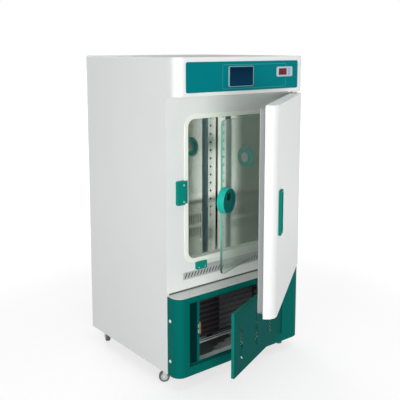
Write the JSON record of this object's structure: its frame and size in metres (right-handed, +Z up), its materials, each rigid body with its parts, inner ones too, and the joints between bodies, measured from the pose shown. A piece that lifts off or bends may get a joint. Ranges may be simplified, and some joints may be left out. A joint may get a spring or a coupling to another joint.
{
  "type": "refrigerated incubator",
  "caption": "Refrigerated laboratory incubator: upright insulated cabinet on casters with a solid outer door, an inner glass door and a louvred base door.",
  "frame": {"origin": "centre of the flat underside of the cabinet's floor pan, above the casters", "axes": "+X to the right as seen from the front, +Y to the back, +Z up"},
  "size_m": [0.6284, 0.9334, 1.178],
  "materials": {
    "outer_shell": "semi-gloss white powder coat",
    "rear_cover": "semi-gloss white powder coat",
    "floor_pan": "zinc-plated sheet",
    "header_housing": "semi-gloss white powder coat",
    "control_panel": "teal printed plate",
    "display_bezel": "pale blue-grey",
    "display_glass": "dark blue screen",
    "thermostat_case": "pale blue-grey",
    "raise_button": "light blue",
    "set_button": "light blue",
    "lower_button": "light blue",
    "front_frame": "semi-gloss white powder coat",
    "breaker_strip": "cream moulding",
    "vent_strip": "grey moulding",
    "insulation": "rigid foam",
    "chamber_liner": "polished stainless sheet",
    "duct_panel": "polished stainless sheet",
    "shelf_strip_left": "polished stainless sheet",
    "shelf_strip_right": "polished stainless sheet",
    "evaporator": "copper tube",
    "heater": "stainless tube",
    "temperature_probe": "stainless tube",
    "fan_motor": "zinc-plated can",
    "circulation_fan": "grey moulding",
    "port_sleeve": "teal moulding",
    "port_collar": "teal moulding",
    "glass_catch": "teal moulding",
    "glass_rest": "teal moulding",
    "glass_hinge_top": "stainless",
    "glass_hinge_bottom": "stainless",
    "glass_pane": "clear toughened glass",
    "glass_hinge_rail": "stainless",
    "glass_latch": "teal moulding",
    "door_shell": "semi-gloss white powder coat",
    "door_liner": "cream moulding",
    "door_gasket": "grey magnetic seal",
    "door_handle": "teal moulding",
    "door_hinge_top": "zinc-plated",
    "door_hinge_bottom": "zinc-plated",
    "base_frame": "semi-gloss teal powder coat",
    "ledge_plate": "pale beige",
    "vent_door": "semi-gloss teal powder coat",
    "vent_catch": "brass",
    "condenser": "black paint",
    "condenser_motor": "black paint",
    "condenser_fan": "grey moulding",
    "compressor": "black paint",
    "drip_tray": "pale moulding",
    "caster_plate_front_left": "zinc-plated",
    "caster_fork_front_left": "zinc-plated",
    "caster_wheel_front_left": "dark grey tread",
    "caster_plate_front_right": "zinc-plated",
    "caster_fork_front_right": "zinc-plated",
    "caster_wheel_front_right": "dark grey tread",
    "caster_plate_rear_left": "zinc-plated",
    "caster_fork_rear_left": "zinc-plated",
    "caster_wheel_rear_left": "dark grey tread",
    "caster_plate_rear_right": "zinc-plated",
    "caster_fork_rear_right": "zinc-plated",
    "caster_wheel_rear_right": "dark grey tread"
  },
  "bodies": {
    "cabinet": {"outer_shell": "outer_shell", "rear_cover": "rear_cover", "floor_pan": "floor_pan", "header_housing": "header_housing", "control_panel": "control_panel", "display_bezel": "display_bezel", "display_glass": "display_glass", "thermostat_case": "thermostat_case", "front_frame": "front_frame", "breaker_strip": "breaker_strip", "vent_strip": "vent_strip", "insulation": "insulation", "chamber_liner": "chamber_liner", "duct_panel": "duct_panel", "shelf_strip_left": "shelf_strip_left", "shelf_strip_right": "shelf_strip_right", "evaporator": "evaporator", "heater": "heater", "temperature_probe": "temperature_probe", "fan_motor": "fan_motor", "port_sleeve": "port_sleeve", "port_collar": "port_collar", "glass_catch": "glass_catch", "glass_rest": "glass_rest", "glass_hinge_top": "glass_hinge_top", "glass_hinge_bottom": "glass_hinge_bottom", "door_hinge_top": "door_hinge_top", "door_hinge_bottom": "door_hinge_bottom", "base_frame": "base_frame", "ledge_plate": "ledge_plate", "vent_catch": "vent_catch", "condenser": "condenser", "condenser_motor": "condenser_motor", "compressor": "compressor", "drip_tray": "drip_tray", "caster_plate_front_left": "caster_plate_front_left", "caster_plate_front_right": "caster_plate_front_right", "caster_plate_rear_left": "caster_plate_rear_left", "caster_plate_rear_right": "caster_plate_rear_right"},
    "outer_door": {"door_shell": "door_shell", "door_liner": "door_liner", "door_gasket": "door_gasket", "door_handle": "door_handle"},
    "glass_door": {"glass_pane": "glass_pane", "glass_hinge_rail": "glass_hinge_rail"},
    "glass_latch": {"glass_latch": "glass_latch"},
    "vent_door": {"vent_door": "vent_door"},
    "circulation_fan": {"circulation_fan": "circulation_fan"},
    "condenser_fan": {"condenser_fan": "condenser_fan"},
    "raise_button": {"raise_button": "raise_button"},
    "set_button": {"set_button": "set_button"},
    "lower_button": {"lower_button": "lower_button"},
    "fork_front_left": {"caster_fork_front_left": "caster_fork_front_left"},
    "wheel_front_left": {"caster_wheel_front_left": "caster_wheel_front_left"},
    "fork_front_right": {"caster_fork_front_right": "caster_fork_front_right"},
    "wheel_front_right": {"caster_wheel_front_right": "caster_wheel_front_right"},
    "fork_rear_left": {"caster_fork_rear_left": "caster_fork_rear_left"},
    "wheel_rear_left": {"caster_wheel_rear_left": "caster_wheel_rear_left"},
    "fork_rear_right": {"caster_fork_rear_right": "caster_fork_rear_right"},
    "wheel_rear_right": {"caster_wheel_rear_right": "caster_wheel_rear_right"}
  },
  "joints": [
    {"name": "outer_door_hinge", "type": "hinge", "parent": "cabinet", "child": "outer_door", "pos_m": [0.285, -0.308, 0.647], "axis": [0, 0, 1], "range_deg": [-36.3, 73.7]},
    {"name": "glass_door_hinge", "type": "hinge", "parent": "cabinet", "child": "glass_door", "pos_m": [0.222, -0.279, 0.659], "axis": [0, 0, 1], "range_deg": [-20.5, 41.7]},
    {"name": "glass_latch_turn", "type": "hinge", "parent": "glass_door", "child": "glass_latch", "pos_m": [-0.17796, -0.42854, 0.655], "axis": [-0.3502, 0.9367, 0], "range_deg": [0, 90]},
    {"name": "vent_door_hinge", "type": "hinge", "parent": "cabinet", "child": "vent_door", "pos_m": [0.199, -0.324, 0.1525], "axis": [0, 0, 1], "range_deg": [-22.9, 82]},
    {"name": "circulation_fan_spin", "type": "hinge", "parent": "cabinet", "child": "circulation_fan", "pos_m": [0, 0.122, 0.76], "axis": [0, 1, 0], "continuous": true},
    {"name": "condenser_fan_spin", "type": "hinge", "parent": "cabinet", "child": "condenser_fan", "pos_m": [-0.015, -0.182, 0.15], "axis": [0, 1, 0], "continuous": true},
    {"name": "raise_button_press", "type": "slide", "parent": "cabinet", "child": "raise_button", "axis": [0, 1, 0], "range_m": [0, 0.0008], "stiffness_N_per_m": 300},
    {"name": "set_button_press", "type": "slide", "parent": "cabinet", "child": "set_button", "axis": [0, 1, 0], "range_m": [0, 0.0008], "stiffness_N_per_m": 300},
    {"name": "lower_button_press", "type": "slide", "parent": "cabinet", "child": "lower_button", "axis": [0, 1, 0], "range_m": [0, 0.0008], "stiffness_N_per_m": 300},
    {"name": "swivel_front_left", "type": "hinge", "parent": "cabinet", "child": "fork_front_left", "pos_m": [-0.272, -0.241, -0.02], "axis": [0, 0, 1], "continuous": true},
    {"name": "roll_front_left", "type": "hinge", "parent": "fork_front_left", "child": "wheel_front_left", "pos_m": [-0.29223, -0.22631, -0.028], "axis": [-0.5878, -0.809, 0], "continuous": true},
    {"name": "swivel_front_right", "type": "hinge", "parent": "cabinet", "child": "fork_front_right", "pos_m": [0.272, -0.241, -0.02], "axis": [0, 0, 1], "continuous": true},
    {"name": "roll_front_right", "type": "hinge", "parent": "fork_front_right", "child": "wheel_front_right", "pos_m": [0.26026, -0.26307, -0.028], "axis": [0.8829, -0.4695, 0], "continuous": true},
    {"name": "swivel_rear_left", "type": "hinge", "parent": "cabinet", "child": "fork_rear_left", "pos_m": [-0.272, 0.222, -0.02], "axis": [0, 0, 1], "continuous": true},
    {"name": "roll_rear_left", "type": "hinge", "parent": "fork_rear_left", "child": "wheel_rear_left", "pos_m": [-0.27973, 0.19822, -0.028], "axis": [0.9511, -0.309, 0], "continuous": true},
    {"name": "swivel_rear_right", "type": "hinge", "parent": "cabinet", "child": "fork_rear_right", "pos_m": [0.272, 0.222, -0.02], "axis": [0, 0, 1], "continuous": true},
    {"name": "roll_rear_right", "type": "hinge", "parent": "fork_rear_right", "child": "wheel_rear_right", "pos_m": [0.29549, 0.23055, -0.028], "axis": [-0.342, 0.9397, 0], "continuous": true}
  ],
  "couplings": [
    {"joint": "glass_door_hinge", "follows": "outer_door_hinge", "ratio": 0.5647}
  ]
}
